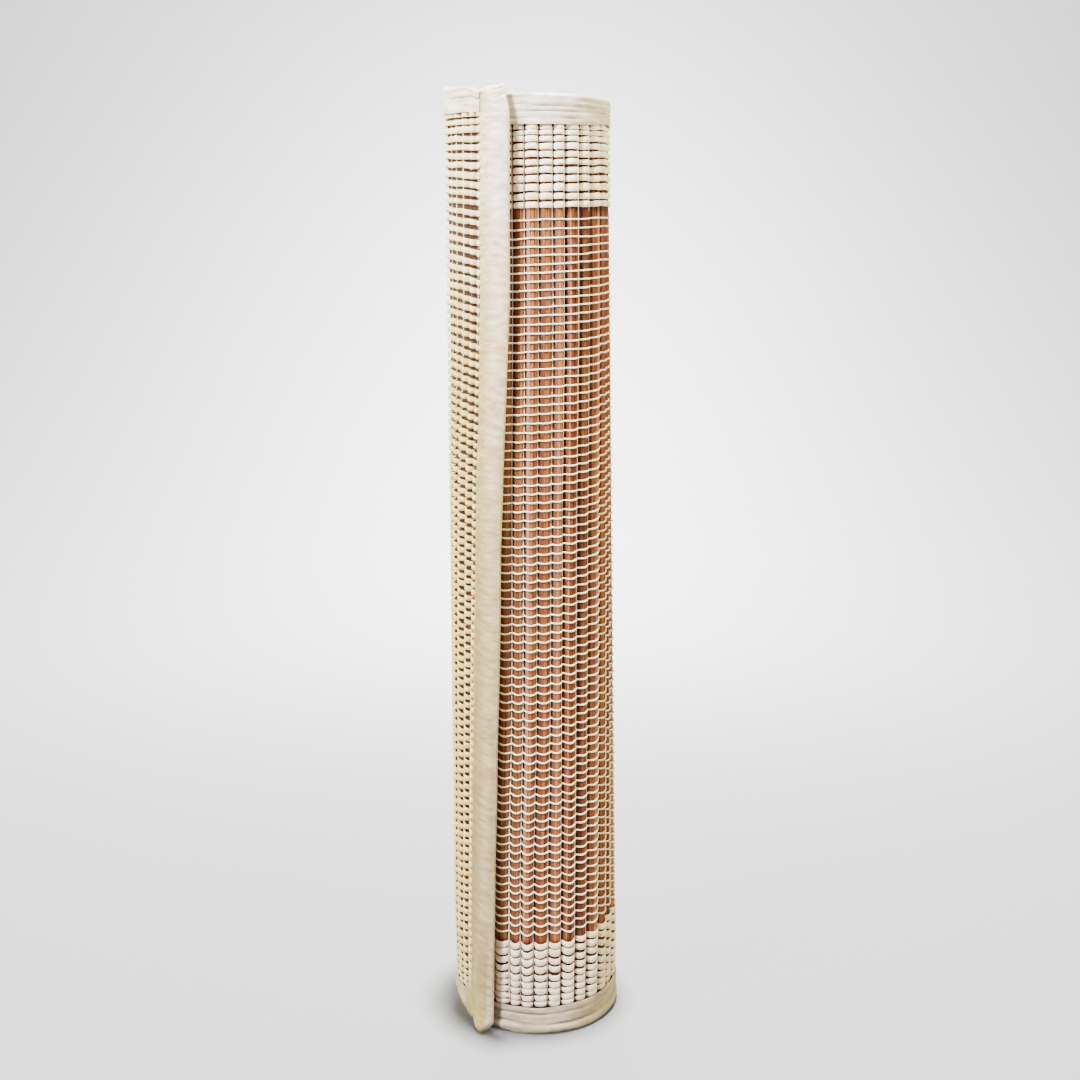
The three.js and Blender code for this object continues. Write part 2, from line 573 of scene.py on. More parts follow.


# Off-white cotton yarn, a little greyer and creamier in patches, greyer at the foot, partly painted
# shade, and darker down its valleys with painted shade.
def makeYarnMaterial(name, strand, soiling, valleyShadeMost, valleyShadeColour):
    material = makeMaterial(name, 0.8, sheen=0.2, specular=0.25)
    height = remap(partOf("Z"), 0, matHeight, 0, 1)
    # Whitest high up and greyer at the foot, partly painted shade of the lower roll.
    white = ramp(
        height,
        (0.0, 226, 212, 203), (0.15, 246, 229, 196), (0.65, 255, 236, 198), (0.85, 255, 241, 220),
    )
    soiled = remap(noise(4.0, detail=4.0), 0.35, 0.65, 0.0, soiling)
    clean = blend(soiled, white, paint(205, 182, 130), "MULTIPLY")
    # Painted shade down the valleys, strongest where the yarn lies deepest.
    paintedValleyShade = remap(partOf("Y"), -1.7, -0.4, valleyShadeMost, 0.0)
    # The rows' tone is painted shade with a warm bounce, towards the sides of the roll.
    tinted = blend(attribute("tone"), clean, paint(198, 188, 119), "MULTIPLY")
    colour = blend(paintedValleyShade, tinted, valleyShadeColour, "MULTIPLY")
    relief = combine("ADD", ridges("z", strand, 0.6), noise(0.8))
    coverWith(colour, relief, 0.18, 0.6)
    return material


# Split grass stalks: each has its own brown, with fine streaks along it, and painted shade towards
# the valleys.
def makeStalkMaterial():
    material = makeMaterial("grassStalks", 0.6, specular=0.15)
    streaks = noise(0.45, stretch=(1, 1, 0.03), detail=4.0)
    patches = remap(noise(2.2, stretch=(1, 1, 0.12), detail=2.0), 0.3, 0.7, -0.14, 0.14)
    tone = combine("ADD", attribute("tone"), patches)
    brown = ramp(
        tone,
        (0.0, 62, 24, 10), (0.25, 106, 50, 28), (0.5, 120, 67, 36), (0.75, 138, 86, 54),
        (1.0, 162, 112, 80),
    )
    golden = remap(noise(3.0, stretch=(1, 0, 0.02), detail=1.0), 0.5, 0.65, 0.0, 0.3)
    brown = blend(golden, brown, paint(150, 108, 50))
    streaky = remap(streaks, 0.35, 0.7, 0.0, 0.6)
    streaked = blend(streaky, brown, paint(152, 97, 58), "MULTIPLY")
    # Painted shade towards the valleys between the bundles.
    paintedValleyShade = remap(partOf("Y"), -1.5, 0.2, 1.0, 0.0)
    shaded = blend(paintedValleyShade, streaked, paint(140, 110, 85), "MULTIPLY")
    coverWith(shaded, streaks, 0.2, 0.5)
    return material


# The undersides of the stalks: dark brown, streaked along them, darker than the stalks as painted
# shade in the gaps where they show.
def makeBackingMaterial():
    material = makeMaterial("grassBacking", 0.7, specular=0.2)
    streaks = noise(0.8, stretch=(1, 1, 0.04), detail=3.0)
    brown = ramp(streaks, (0.3, 34, 20, 13), (0.7, 62, 37, 25))
    coverWith(brown, streaks, 0.3, 0.5)
    return material


tapeMaterial = makeTapeMaterial()
# The last two numbers set the painted valley shade: its strength and its colour.
rowMaterial = makeYarnMaterial("cottonRows", 0.6, 0.2, 0.2, paint(150, 118, 88))
bandMaterial = makeYarnMaterial("cottonBands", 0.9, 0.6, 1.0, paint(150, 118, 88))
cordMaterial = makeYarnMaterial("valleyCords", 0.6, 0.2, 1.0, paint(172, 160, 160))
stalkMaterial = makeStalkMaterial()
backingMaterial = makeBackingMaterial()
print("materials made")

# The mat's backing, the whole spiral long.
backing = {
    "fineStations": 300, "coarseStations": 290, "rows": 30, "thickness": 0.8,
    "valley": -2.4,
    "drop": 1.9,  # of its ridges under the crests of the thin rows
    "squareness": 3.0,
    "inset": 1.6,  # from the folds of the tapes
    "pressed": (16.6, 19.6),  # from an edge: flat before, ridged after
    "cornerShare": 1.3,  # its corners are cut back more than the tapes'
}
detailEnd = valleys[-1]
detailFade = 20.0  # over which the ridges and creases die away


# Places along the mat: close together where it shows, then by even turns inside the roll.
def stationsAlong(start, end, layout):
    near = np.linspace(start, detailEnd, layout["fineStations"], endpoint=False)
    turns = np.linspace(windingAt(detailEnd), windingAt(end), layout["coarseStations"])
    return np.concatenate([near, lengthAt(turns)])


# How far a place on the mat is from its nearer long edge.
def fromEdge(z):
    return np.minimum(z, matHeight - z)


def makeBacking():
    inset = backing["inset"]
    places = stationsAlong(inset, matLength - inset, backing)
    piece, along, across = makeGrid("wovenMat", len(places) - 1, backing["rows"])
    s = np.interp(along, np.linspace(0, 1, len(places)), places)
    z = between(inset, matHeight - inset, across)
    edge = np.minimum(fromEdge(z), np.minimum(s, matLength - s))
    ridged = rise(edge, *backing["pressed"]) * fall(s, detailEnd, detailEnd + detailFade)
    d = hump(s, backing) * ridged
    z = z + (cornered(s, z) - z) * backing["cornerShare"] - dipped(s, z)
    movePoints(piece, slipped(s, d, z))
    applyModifier(piece, "SOLIDIFY", thickness=backing["thickness"], offset=0)
    rollUp(piece, backingMaterial)
    return piece


wovenMat = makeBacking()
print("backing made")

# The grass stalks, in bundles.
stalks = {
    "fewest": 3, "most": 5,
    "shares": (0.6, 1.4),  # of the bundle, before they are evened out
    "filled": 0.77,  # share of a bundle's pitch
    "breadth": 0.98,  # of a stalk, in its own share
    "sides": 8, "squareness": 3.0,
    "section": 3.0,  # how square a stalk is across
    "thickness": 1.3,
    "drop": 0.45,  # of their faces
    "out": 0.25,  # or back, at most
    "bound": 0.2,  # how much deeper they lie under the thick rows
    "endBound": 1.0,
    "boundFade": 2.0,  # either side of the field's edge
    # Painted shade: the stalks under the thick rows are darkest, as they show only in the slits.
    "boundTone": -0.1,
    "valley": -1.7,
    "wander": 0.22, "wanderLength": 70,
    "tones": (0.3, 0.76),  # of the bundles, from dark to light
    "toneSpread": 0.42,  # of the stalks within a bundle
    "darkest": 0.1,
    "pressed": (12, 18.6),  # from a long edge: flatter inside the tape
    "leastFace": 0.3,  # how much of their relief stays there
}

# Two bundles beside the free end's edge have a tone of their own; the darker one, 32, is partly
# painted shadow of the free end's tape.
toneOfBundle = {31: 0.55, 32: 0.35}

# The heights at which a stalk has a ring of points.
stalkHeights = [2, 10, 17, 40, 62, 66, 130, 200, 270, 340, 410, 480, 534, 538, 570, 588, 595, 602]


# Squares a round section off, so that it is flat with rounded edges.
def squared(a, b, squareness):
    size = (np.abs(a) ** squareness + np.abs(b) ** squareness) ** (1 / squareness)
    return a / size, b / size


def makeStalks():
    random = np.random.default_rng(11)
    steps = len(stalkHeights) - 1
    template = makeTube("grassStalks", stalks["sides"], steps, float(steps))
    shapings = []
    for index in range(bundles):
        count = random.integers(stalks["fewest"], stalks["most"] + 1)
        shares = random.uniform(*stalks["shares"], count)
        shares = shares / shares.sum() * widths[index] * stalks["filled"]
        left = valleys[index] + widths[index] * (1 - stalks["filled"]) / 2
        bundleTone = toneOfBundle.get(index, random.uniform(*stalks["tones"]))
        for share in shares:
            middle = left + share / 2
            left += share
            spread = random.uniform(-stalks["toneSpread"], stalks["toneSpread"])
            tone = np.clip(bundleTone + spread, stalks["darkest"], 1)
            out = random.uniform(-stalks["out"], stalks["out"])
            shapings.append(stalkShaping(index, middle, share, tone, out))
    piece = copyAndJoin("grassStalks", template, shapings)
    rollUp(piece, stalkMaterial)
    return piece


def stalkShaping(bundle, middle, width, tone, out):
    def shape(points):
        a, b = squared(points[:, 1], points[:, 2], stalks["section"])
        z = np.interp(points[:, 0], range(len(stalkHeights)), stalkHeights)
        wander = stalks["wander"] * waves(round(middle * 10), z, stalks["wanderLength"])
        s = middle - a * width * stalks["breadth"] / 2 + wander
        inField = np.minimum(z - fieldFoot, fieldTop - z)
        atEnd = bundle < weave["endBorder"]
        fade = stalks["boundFade"]
        bound = np.ones(len(z)) if atEnd else fall(inField, -fade, fade)
        deeper = stalks["endBound"] if atEnd else stalks["bound"] * bound
        face = hump(s, stalks) + out - deeper
        relief = between(stalks["leastFace"], 1, rise(fromEdge(z), *stalks["pressed"]))
        z = z - dipped(s, z)
        d = face * relief + (b - 1) * stalks["thickness"] / 2
        return slipped(s, d, z), between(tone, stalks["boundTone"], bound)

    return shape


grassStalks = makeStalks()
print("stalks made")

leftSide = (75, 120)  # along the mat, where it turns away out of sight

# Where the rows lie higher or lower round the roll than they were woven.
shifts = {
    "left": [form(2.1, past=(40, 72), until=(95, 130), above=(455, 530))],
    # At the right the whole weave climbs, and curls up.
    "right": [form(1.0, past=(190, 235), until=(350, 375), above=(-40, 90))],
    "slant": 10,  # how much further round this lies at the foot
    "climb": 0.05,  # for each millimetre along the mat
    "climbFrom": 310,
    "climbLimits": (-0.8, 2.4),
    "lessClimb": [form(0.4, above=(500, 560))],
    "curl": [form(6.0, until=(244, 282))],
    "lessCurl": [form(0.8, above=(300, 500))],
    # Near the free end the thick rows sag, and reach up to a narrower top tape.
    "thick": [
        form(-2.2, until=(18, 60), above=(18, 110), below=(500, 585)),
        form(2.6, until=leftSide, above=(470, 535)),
        form(1.4, until=leftSide, above=(557.9, 577.9)),
    ],
    "topStretch": 0.035,  # for each millimetre above the field
    "footStretch": 0.055,
    # The thin rows lie a little closer together towards the top.
    "thin": [form(3.5, above=(120, 340), below=(455, 530))],
}


# How much higher the rows lie round the sides of the roll.
def sideRise(s, z):
    around = s + shifts["slant"] * (1 - z / matHeight)
    climb = np.clip(shifts["climb"] * (shifts["climbFrom"] - around), *shifts["climbLimits"])
    climb = climb * (1 - formsAt(shifts["lessClimb"], s, z))
    curl = formsAt(shifts["curl"], around) * (1 - formsAt(shifts["lessCurl"], s, z))
    right = (climb + curl) * formsAt(shifts["right"], s, z)
    return formsAt(shifts["left"], s, z) + right


def thickRise(s, z):
    above = np.maximum(z - fieldTop, 0)
    below = np.maximum(fieldFoot - z, 0)
    stretched = shifts["topStretch"] * above - shifts["footStretch"] * below
    return formsAt(shifts["thick"], s, z) + stretched * fall(s, *leftSide) + sideRise(s, z)


# The thin cotton rows of the field and the thick ones of the borders.
rows = {
    "wander": 0.3, "wanderLength": 9.0,
    "bow": 1.7,  # how far it hangs down over a bundle, at the foot
    "bowUneven": (0.4, 1.5),
    "bowRoundness": 1.6,
    "bowBelow": (30, 520),
    # Yellower cotton towards both sides, most at the free end, and less at the top: painted shade
    # with a warm bounce where the roll turns away.
    "tone": [form(0.55, until=(240, 290)), form(0.45, until=(70, 110))],
    "lessTone": [form(0.42, above=(400, 600))],
    "endTone": [form(0.2, until=(22, 36))],  # less again right beside the end tape
}
thinRow = {
    "radius": 0.57, "valley": -1.0, "drop": 0.0, "squareness": 2.2, "sides": 6,
    "steps": 6,  # in each bundle
}
thickRow = {
    "depth": 1.1, "valley": -2.3, "drop": -0.15, "squareness": 3.4, "sides": 8, "steps": 7,
    "section": 3.2,  # how square it is across
    "wander": 1.3,  # times that of a thin row
    "uneven": 0.1,  # share of its width
    # The share of its width that it loses between bundles.
    "pinches": [
        form(0.24, until=(60, 90)),
        form(0.2, past=(60, 90)),
        form(0.1, below=(60, 66)),
        form(0.36, below=(36, 42)),
    ],
    "pinchPower": 5,
    # And near the free end, all along.
    "opened": [
        form(0.1, until=(75, 110), above=(500, 540)),
        form(0.12, until=(75, 110), below=(60, 66)),
        form(0.08, until=(75, 110), below=(34, 42)),
    ],
    "bowAbove": (20, 45),
    "covered": (17.5, 20),  # from a long edge, where the tape begins
    "tucked": 1.0,  # how much deeper it lies there
    "untucked": [form(1.0, past=(24, 46), until=(70, 115), above=(8, 11))],
    "endTuck": [form(0.8, until=(29, 37))],  # deeper again in the corners
}
bows = rows["bow"] * np.random.default_rng(6).uniform(*rows["bowUneven"], bundles)


def rowTone(s, z):
    less = (1 - formsAt(rows["lessTone"], s, z)) * (1 - formsAt(rows["endTone"], s, z))
    return formsAt(rows["tone"], s, z) * less


# A row through some bundles. x of the template counts the bundles that it passes.
def rowShaping(row, first, seed, thin):
    def shape(points):
        index = np.floor(points[:, 0] + 1e-6).astype(int) + first
        index = np.clip(index, 0, bundles - 1)
        across = points[:, 0] + first - index
        s = valleys[index] + across * widths[index]
        wander = rows["wander"] * waves(seed, s, rows["wanderLength"])
        hang = 1 - np.abs(2 * np.clip(across, 0, 1) - 1) ** rows["bowRoundness"]
        bow = bows[index] * (hang - 0.5) * fall(row["z"], *rows["bowBelow"])
        if thin:
            d, z = thinPlaces(row, points, s, wander - bow)
        else:
            wander = wander * thickRow["wander"]
            bow = bow * rise(row["z"], *thickRow["bowAbove"])
            half = thickHalf(row, s, across, seed + 7)
            d, z = thickPlaces(row, points, s, wander - bow, half)
        return slipped(s, d, z), rowTone(s, z)

    return shape


def thinPlaces(row, points, s, up):
    d = hump(s, thinRow) + thinRow["radius"] * points[:, 1]
    packed = row["z"] + formsAt(shifts["thin"], 0.0, row["z"])
    z = packed + up + thinRow["radius"] * points[:, 2]
    return d, z + sideRise(s, z)


# Half its width.
def thickHalf(row, s, across, seed):
    pinch = np.abs(2 * across - 1) ** thickRow["pinchPower"]
    pinch = pinch * formsAt(thickRow["pinches"], s, row["z"])
    uneven = 1 + thickRow["uneven"] * waves(seed, s, rows["wanderLength"])
    return row["width"] / 2 * (1 - pinch) * uneven * (1 - formsAt(thickRow["opened"], s, row["z"]))


def thickPlaces(row, points, s, up, half):
    a, b = squared(points[:, 1], points[:, 2], thickRow["section"])
    over = hump(s, thickRow)
    z = row["z"] + up + half * b
    tucked = thickRow["tucked"] * (1 - formsAt(thickRow["untucked"], s, z))
    tucked = tucked + formsAt(thickRow["endTuck"], s, z)
    d = over + thickRow["depth"] / 2 * a - tucked * fall(fromEdge(z), *thickRow["covered"])
    return d, z + thickRise(s, z)


def makeRows(name, thin, spans, material):
    kind = thinRow if thin else thickRow
    pieces = []
    for first, count, chosen in spans:
        template = makeTube(name, kind["sides"], kind["steps"] * count, float(count))
        shapings = [rowShaping(row, first, 100 + round(row["z"] * 10), thin) for row in chosen]
        pieces.append(copyAndJoin(name, template, shapings))
    piece = joinAll(name, pieces)
    rollUp(piece, material, smoothAngle=80)
    return piece


# Each span is its first bundle, how many bundles it passes, and its rows.
fieldStart = weave["endBorder"]
fieldSpans = [(fieldStart, bundles - fieldStart, thinRows)]
borderSpans = [
    (0, bundles, longBorders),
    (0, fieldStart, endRows),
    (0, 10, lowRows),
    (20, 10, lowRows[:1]),
]
cottonRows = makeRows("cottonRows", True, fieldSpans, rowMaterial)
cottonBands = makeRows("cottonBands", False, borderSpans, bandMaterial)
print("cotton rows made")

# The cotton cords that run up the valleys of the field.
cords = {
    "radius": 0.42, "sides": 6, "steps": 52, "out": -1.35,
    "aside": 0.65,  # from the middle of the valley
    "asideTurns": 151.0,  # along the mat: beyond this, on the other side
    "clear": 0.5,  # of the tapes
    "wander": 0.2, "wanderLength": 24,
}


def cordShaping(place, seed):
    def shape(points):
        end = weave["tape"] + cords["clear"]
        z = between(end, matHeight - end, points[:, 0])
        wander = cords["wander"] * waves(seed, z, cords["wanderLength"])
        aside = cords["aside"] * np.sign(place - cords["asideTurns"])
        s = place + aside + wander - cords["radius"] * points[:, 1]
        d = cords["out"] + cords["radius"] * points[:, 2]
        return slipped(s, d, z), 0.0

    return shape


def makeCords():
    template = makeTube("valleyCords", cords["sides"], cords["steps"], 1.0)
    shapings = [cordShaping(valleys[index], 400 + index) for index in range(1, bundles)]
    piece = copyAndJoin("valleyCords", template, shapings)
    rollUp(piece, cordMaterial)
    return piece


valleyCords = makeCords()
print("cords made")

# The tapes along the foot and the top: half of their section, from the fold to a long edge.
tapeSection = table(
    "along out in",
    (0, 0, 0), (0.07, 1.6, 0.1), (0.13, 2.2, 1.2), (0.3, 2.2, 5), (0.6, 1.95, 11),
    (0.93, 2.15, 17.6), (1, 1.95, 18.5),
)
longTape = {
    "fineStations": 190, "coarseStations": 290, "rows": 40, "thickness": 0.5,
    "clear": 0.3,  # of the end tapes
    "innerHalf": 1.75,  # how far out its face is where turn lies on turn
    "creaseWander": 0.8, "puckers": 0.3, "edgeWander": 0.4, "foldWander": 0.5,
    "foldReach": 3.0,  # of the corner folds, either side of their ends
    "topStandsUp": 0.5,
}
footEdge = {
    "seed": 500,
    # Its creases, by how far they lie in from the fold.
    "creases": table(
        "in width depth", (3.2, 2, -0.8), (6.8, 0.9, 1.9), (10.2, 0.8, 1), (14, 0.7, 0.8),
    ),
    "folds": [],
    "narrower": [form(0.16, until=leftSide), form(0.42, past=(24, 46), until=(70, 115))],
    "flatter": [
        form(0.6, past=(24, 46), until=(70, 115)),
        form(0.5, until=(215, 245)),
        form(1.2, until=(23, 31)),
    ],
    "raised": [form(1.6, until=leftSide), form(-3.4, until=(19, 38))],
    "raisedIn": (0, 14),  # all of it at the fold, none this far in
    # Painted shade with a warm bounce: the foot tape is yellower than the top one, most from the
    # free end round to the left side.
    "tone": [form(0.6, until=(60, 100)), form(0.25, past=(60, 100))],
}
topEdge = {
    "seed": 600,
    "creases": table(
        "in width depth", (3.6, 0.6, 0.6), (7.6, 0.6, 1), (11.2, 0.55, 1.1), (14.8, 0.5, 0.6),
    ),
    # Short folds where it runs in under the end tape.
    "folds": table(
        "s in lean width depth",
        (28, 3, 0.34, 0.8, 1.4), (29, 6.6, 0.12, 0.8, 1.3), (27, 10.5, -0.2, 0.8, 0.8),
    ),
    "narrower": [form(0.13, until=leftSide)],
    "flatter": [],
    "dipsIn": (0, 12),
    "risesIn": (4, 16),  # how it follows the rows at its long edge
    "tone": [form(0.1)],
}
# Both are painted yellower where they turn away at the right, as painted shade with a warm bounce,
# and plain beyond.
rightTone = [form(0.4, past=(210, 240), until=(258, 300))]
toneEnds = (238, 285)


sectionRounding = 0.02


# Where a tape's folded section runs, by the share of the way along it.
def sectionAt(section, wanted, along):
    return lookUp(section, "along", wanted, along, sectionRounding)


# A groove whose depth falls off to both sides of its middle.
def groove(offset, width):
    return np.exp(-((offset / width) ** 2))


def longTapeGrooves(edge, s, inwards):
    seed = edge["seed"]
    grooves = np.zeros(len(s))
    for number, crease in enumerate(edge["creases"]):
        wander = longTape["creaseWander"] * waves(seed + number, s, 30)
        depth = crease["depth"] * (0.75 + 0.75 * waves(seed + 20 + number, s, 26))
        grooves += depth * groove(inwards - crease["in"] - wander, crease["width"])
    reach = longTape["foldReach"]
    for fold in edge["folds"]:
        offset = inwards - fold["in"] - fold["lean"] * (fold["s"] - s)
        near = fall(s, fold["s"] - reach, fold["s"] + reach)
        grooves += fold["depth"] * near * groove(offset, fold["width"])
    return grooves - longTape["puckers"] * waves(seed + 40, s, 12, inwards, 5) * rise(inwards, 0, 2)


def makeLongTape(name, edge):
    start = weave["tape"] + longTape["clear"]
    places = stationsAlong(start, matLength - start, longTape)
    piece, length, across = makeGrid(name, len(places) - 1, longTape["rows"])
    s = np.interp(length, np.linspace(0, 1, len(places)), places)
    side = 2 * across - 1  # below 0 behind the mat, above 0 in front of it
    along = np.abs(side)
    out = sectionAt(tapeSection, "out", along)
    inwards = sectionAt(tapeSection, "in", along)
    shows = fall(s, detailEnd - detailFade, detailEnd) * (side > 0)
    out = out - longTapeGrooves(edge, s, inwards) * shows
    out = between(np.minimum(out, longTape["innerHalf"]), out, shows)
    seed = edge["seed"]
    inwards = inwards + longTape["edgeWander"] * waves(seed + 60, s, 16) * rise(inwards, 8, 18)
    inwards = inwards + longTape["foldWander"] * waves(seed + 80, s, 21) * fall(inwards, 0, 6)
    inwards = inwards * (1 - formsAt(edge["narrower"], s))
    out = out - formsAt(edge["flatter"], s) * (side > 0)
    if edge is topEdge:
        dip = formsAt(outline["topDips"], s) * fall(inwards, *edge["dipsIn"])
        z = matHeight + longTape["topStandsUp"] - inwards - dip
        z = z + sideRise(s, z) * rise(inwards, *edge["risesIn"])
    else:
        z = inwards + formsAt(edge["raised"], s) * fall(inwards, *edge["raisedIn"])
        z = z + sideRise(s, z)
    movePoints(piece, np.stack([s, out * np.sign(side), z], axis=1))
    # Painted shade with a warm bounce, where the tapes turn away to the sides.
    tone = formsAt(edge["tone"], s) * fall(s, *toneEnds) + formsAt(rightTone, s)
    keep(piece, "tone", tone)
    finishTape(piece, longTape["thickness"])
    return piece


# Gives a tape its thickness and winds it into the roll.
def finishTape(piece, thickness):
    applyModifier(piece, "SOLIDIFY", thickness=thickness, offset=0)
    closeUp(piece)
    rollUp(piece, tapeMaterial)


footTape = makeLongTape("footTape", footEdge)
topTape = makeLongTape("topTape", topEdge)
print("long tapes made")

# The tape across the free end: its section, from the long edge behind the mat, round the
# fold, to the long edge in front.
endSection = table(
    "along s out",
    (0, 19.4, -1.6), (0.36, 3.2, -1.75), (0.42, 1, -1.5), (0.47, 0, 0.1),
    (0.52, 0.7, 1.9), (0.58, 2.6, 2.9), (0.76, 10.5, 3), (1, 20, 1.4),
)

endTape = {
    "columns": 48, "rows": 440,
    "fineRows": 50,  # over the top, closer together
    "fineFrom": 582.0,
    "thickness": 0.5,
    "widthRounding": 0.04,
    "frontFrom": (0.5, 0.56),  # of its section, where its front begins
    "shoulder": 3.2,
    "topReach": 0.7,  # of its fold, further round at the top
    "foldWander": 0.35,
    "ripple": 0.85, "rippleSharpness": 0.3, "rippleWander": 1.2,
    "puff": 0.45, "crown": 0.35, "sloped": 0.9,
    "creases": 18,  # small ones
    "creaseWidth": 0.7,
    # Its left slope and its face low down are painted olive: painted shade where the slope turns
    # away and low on the roll.
    "slopeTop": 13.0,  # where its left slope starts, from the free edge
    "slopeFoot": 10.5,
    "slopeShorter": [form(3.5, below=(3, 30))],
    "slopeTone": (1, 0.42),  # at the foot and at the top
    "footTone": [form(0.8, past=(2, 4), below=(20, 110))],
    "foldHighlight": [form(1.0, until=(0.5, 1.4))],  # a painted highlight along the fold
    "footFlare": [form(4.5, past=(0, 6), until=(8, 18), below=(0, 16))],
    "footLift": [form(0.9, past=(12, 18), below=(18, 32))],
    # How flat its two ends are pressed, and about which middle.
    "closing": [form(0.85, above=(600.5, 604)), form(0.85, below=(0, 3.5))],
    "closedOut": 0.3,
    "topAbove": (585, 604),
    "topRounding": 0.3,
}

# One small pleat at the top.
pleat = {
    "z": 601.6, "s": 4.0, "lean": -0.12, "width": 0.7,
    "form": [form(1.7, past=(2, 4), until=(9, 12))],
}

# How far it reaches over the front of the mat.
endWidths = table(
    "height width",
    (0, 26), (0.03, 23.6), (0.07, 22.3), (0.32, 21.2), (0.44, 20.4), (0.5, 19.6),
    (0.56, 18.7), (0.65, 19), (0.78, 19.6), (1, 19.8),
)

# The larger creases in its face, by height; lean is their slope along the mat.
endCreases = table(
    "z s lean reach width depth",
    (458.5, 8, 0.02, 12, 0.5, 0.5), (596.5, 5, -0.3, 5, 0.6, 0.6), (567, 9, 0.45, 5, 0.7, 0.45),
    (352, 4, 0.15, 6, 0.6, 0.4), (268, 5, 0.9, 6, 0.6, 0.55), (258, 6, 0.5, 5, 0.6, 0.4),
    (60, 9, -0.1, 8, 0.7, 0.5),
)

# The outline of its top end.
endTop = table(
    "s up", (0, -5.5), (1.2, -1.2), (2.8, 1.2), (4.2, 0.2), (7, -0.2), (13, -0.3), (20, -1.6),
)


# Each small crease in its face is drawn at random within these limits.
creaseLimits = {
    "z": (20, 590), "s": (4, 13), "lean": (-0.3, 0.3), "reach": (3, 7), "depth": (0.15, 0.4),
}


def smallCreases():
    random = np.random.default_rng(700)
    creases = []
    for number in range(endTape["creases"]):
        crease = {name: random.uniform(*limits) for name, limits in creaseLimits.items()}
        creases.append({**crease, "width": endTape["creaseWidth"]})
    return creases


# The relief of its front: ripples over the rows, creases and soft puffs.
def endTapeRelief(s, z):
    wander = endTape["rippleWander"] * waves(701, s, 6, z, 9)
    furrow = groove(np.sin(math.pi * (z + wander) / endPitch), endTape["rippleSharpness"])
    uneven = 0.6 + 0.6 * waves(702, z, 14, s, 5)
    relief = -endTape["ripple"] * furrow * uneven * rise(s, 3, 7)
    for crease in endCreases + smallCreases():
        offset = z - crease["z"] - crease["lean"] * (s - crease["s"])
        near = groove(s - crease["s"], crease["reach"])
        relief = relief - crease["depth"] * groove(offset, crease["width"]) * near
    return relief + endTape["puff"] * waves(703, s, 9, z, 24) * rise(s, 0, 5)


def makeOuterEndTape():
    piece, along, up = makeGrid("freeEndTape", endTape["columns"], endTape["rows"])
    knee = 1 - endTape["fineRows"] / endTape["rows"]
    z = np.interp(up, [0, knee, 1], [0, endTape["fineFrom"], matHeight])
    height = z / matHeight
    s = sectionAt(endSection, "s", along)
    out = sectionAt(endSection, "out", along)
    front = rise(along, *endTape["frontFrom"])
    slope = between(endTape["slopeFoot"], endTape["slopeTop"], height)
    slope = slope - formsAt(endTape["slopeShorter"], s, z)
    # Painted olive shade on the slope and low down, and, below zero, the painted highlight along
    # the fold.
    yellow = between(*endTape["slopeTone"], height) * rise(s, slope - 4.5, slope + 2.5)
    yellow = np.maximum(yellow, formsAt(endTape["footTone"], s, z))
    tone = front * (yellow - formsAt(endTape["foldHighlight"], s))
    shaped = endTape["crown"] * rise(s, 2, 5) - endTape["sloped"] * rise(s, slope - 1, slope + 4)
    out = out + front * (shaped * (1 - 0.5 * height) + endTapeRelief(s, z))
    wide = lookUp(endWidths, "height", "width", height, endTape["widthRounding"])
    s = s * between(1, wide / endSection[-1]["s"], front)
    wander = endTape["foldWander"] * waves(704, z, 40)
    s = s + (wander - endTape["topReach"] * rise(height, 0.6, 0.9)) * fall(s, 0, 6)
    s = s + endTape["shoulder"] * rise(z, 588, 606) * fall(s, 0, 14)
    closed = endTape["closedOut"]
    out = closed + (out - closed) * (1 - formsAt(endTape["closing"], s, z))
    out = out + formsAt(endTape["footFlare"], s, z) + front * formsAt(endTape["footLift"], s, z)
    offset = z - pleat["z"] - pleat["lean"] * (s - pleat["s"])
    out = out - front * formsAt(pleat["form"], s) * groove(offset, pleat["width"])
    top = lookUp(endTop, "s", "up", s, endTape["topRounding"]) * rise(z, *endTape["topAbove"])
    z = between(cornered(s, z), z + top, rise(z, 300, 310))
    movePoints(piece, np.stack([s, out, z], axis=1))
    keep(piece, "tone", tone)
    finishTape(piece, endTape["thickness"])
    return piece


# The same tape at the mat's other end, inside the roll, plain and flatter.
innerTape = {"columns": 24, "rows": 40, "halfOut": 1.8}


def makeInnerEndTape():
    piece, along, up = makeGrid("innerEndTape", innerTape["columns"], innerTape["rows"])
    s = matLength - sectionAt(endSection, "s", along)
    out = sectionAt(endSection, "out", along)
    out = np.clip(out, -innerTape["halfOut"], innerTape["halfOut"])
    movePoints(piece, np.stack([s, out, up * matHeight], axis=1))
    keep(piece, "tone", np.zeros(len(s)))
    finishTape(piece, endTape["thickness"])
    return piece


freeEndTape = makeOuterEndTape()
innerEndTape = makeInnerEndTape()
print("end tapes made")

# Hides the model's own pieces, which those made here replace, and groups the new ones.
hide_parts("woven_mat")
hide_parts("edge_binding_foot")
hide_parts("edge_binding_top")
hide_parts("end_binding_outer")
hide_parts("end_binding_inner")
threads = [grassStalks, cottonRows, cottonBands, valleyCords]
tapes = [footTape, topTape, freeEndTape, innerEndTape]

# The floor, the backdrop and the light, in metres.
studio = {"halfWidth": 5.0, "length": 9.0, "front": 2.0, "wallBack": 1.0, "wallRadius": 0.9}


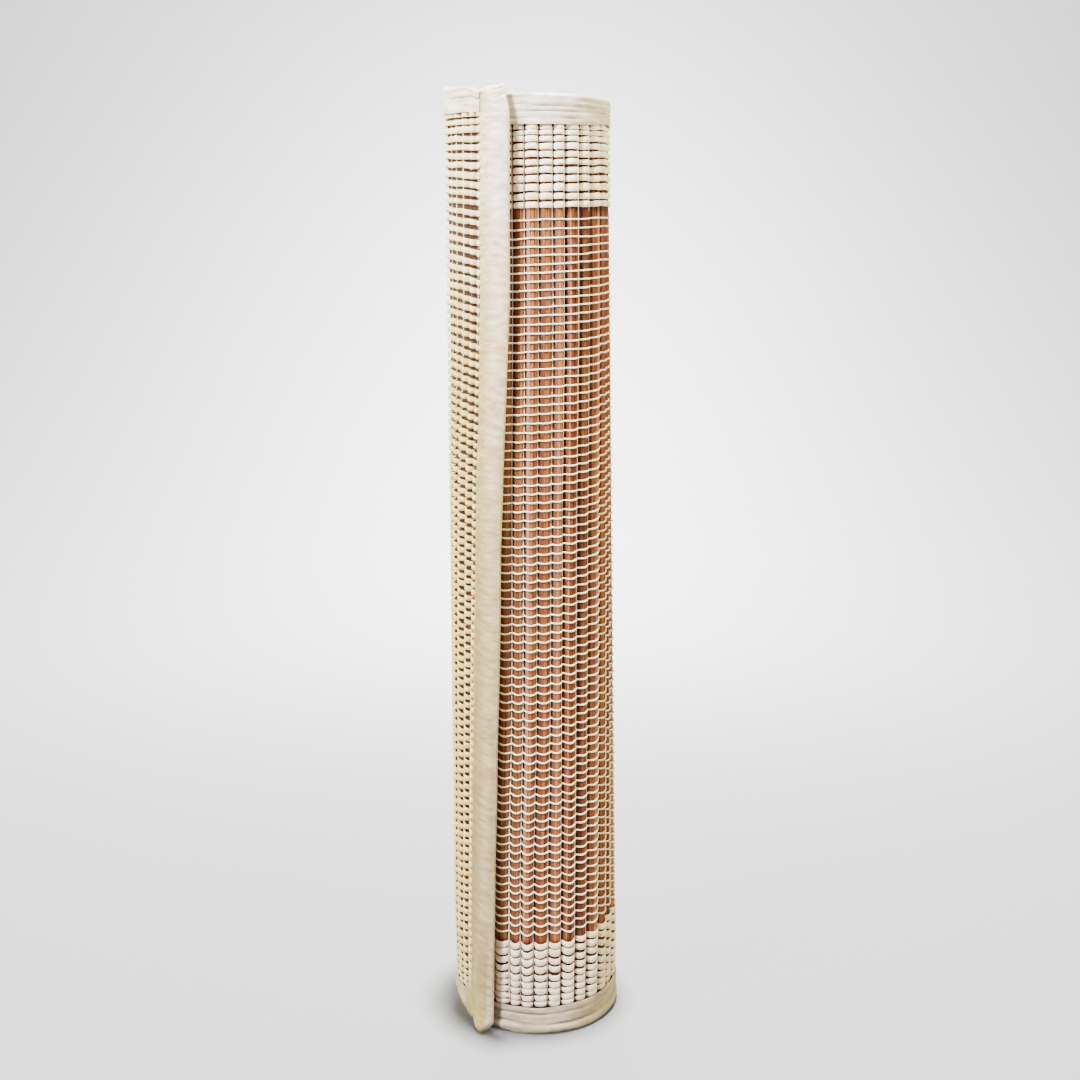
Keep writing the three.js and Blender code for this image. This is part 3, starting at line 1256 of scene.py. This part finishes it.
# A sheet of paper that lies on the floor and curves up into the wall behind.
def makeBackdrop():
    piece, across, along = makeGrid("backdrop", 4, 60)
    x = (2 * across - 1) * studio["halfWidth"]
    run = along * studio["length"]
    bend = studio["wallRadius"]
    start = studio["front"] + studio["wallBack"]
    turned = np.clip((run - start) / bend, 0, math.pi / 2)
    beyond = np.maximum(run - start - bend * math.pi / 2, 0)
    y = -studio["front"] + np.minimum(run, start) + bend * np.sin(turned)
    z = bend * (1 - np.cos(turned)) + beyond
    movePoints(piece, np.stack([x, y, z], axis=1))
    piece.data.materials.append(makeMaterial("studioPaper", 0.9, specular=0.1))
    place = addNode("TexCoord", {})
    split = addNode("SeparateXYZ", {"Vector": place.outputs["Object"]})
    back = remap(split.outputs["Y"], 0.4, 1.3, 0.0, 1.0)
    feedShader("Base Color", ramp(back, (0.0, 168, 168, 168), (1.0, 180, 180, 180)))
    select(piece)
    bpy.ops.object.shade_smooth()
    return piece


def addLight(name, place, aim, size, power, colour=(1, 1, 1)):
    turn = (Vector(aim) - Vector(place)).to_track_quat("-Z", "Y").to_euler()
    bpy.ops.object.light_add(type="AREA", location=place, rotation=turn)
    lamp = bpy.context.object
    lamp.name = name
    lamp.data.shape = "DISK"
    lamp.data.size = size
    lamp.data.energy = power
    lamp.data.color = colour
    lamp.visible_camera = False
    return lamp


backdrop = makeBackdrop()
onPaper = bpy.data.collections.new("lampsForThePaper")
onPaper.objects.link(backdrop)
onRoll = bpy.data.collections.new("lampsForTheRoll")
for piece in [wovenMat] + threads + tapes:
    onRoll.objects.link(piece)
addLight("overhead", (0, 0.01, 3.4), (0, 0, 0), 0.13, 520)
addLight("backdropLight", (0, 1.0, 0.85), (0, 1.45, 0.12), 0.3, 62)
for lamp in (
    addLight("floorLeft", (-1.2, -0.9, 0.6), (0, 0, 0), 0.6, 12),
    addLight("floorRight", (1.2, -0.9, 0.6), (0, 0, 0), 0.6, 8),
):
    lamp.light_linking.receiver_collection = onPaper
for lamp in (
    addLight("key", (-0.54, -0.68, 1.2), (0, 0, 0.35), 0.22, 80),
    addLight("fillRight", (0.85, -0.4, 1.05), (0, 0, 0.42), 0.4, 34, (1, 0.9, 0.55)),
    addLight("fillLeft", (-0.9, 0.0, 0.5), (0, 0, 0.3), 0.4, 20, (1, 0.9, 0.45)),
):
    lamp.light_linking.receiver_collection = onRoll

world = bpy.data.worlds.new("studioAir")
world.use_nodes = True
air = world.node_tree.nodes["Background"]
air.inputs["Color"].default_value = (1, 1, 1, 1)
air.inputs["Strength"].default_value = 0.15
bpy.context.scene.world = world
print("studio made")
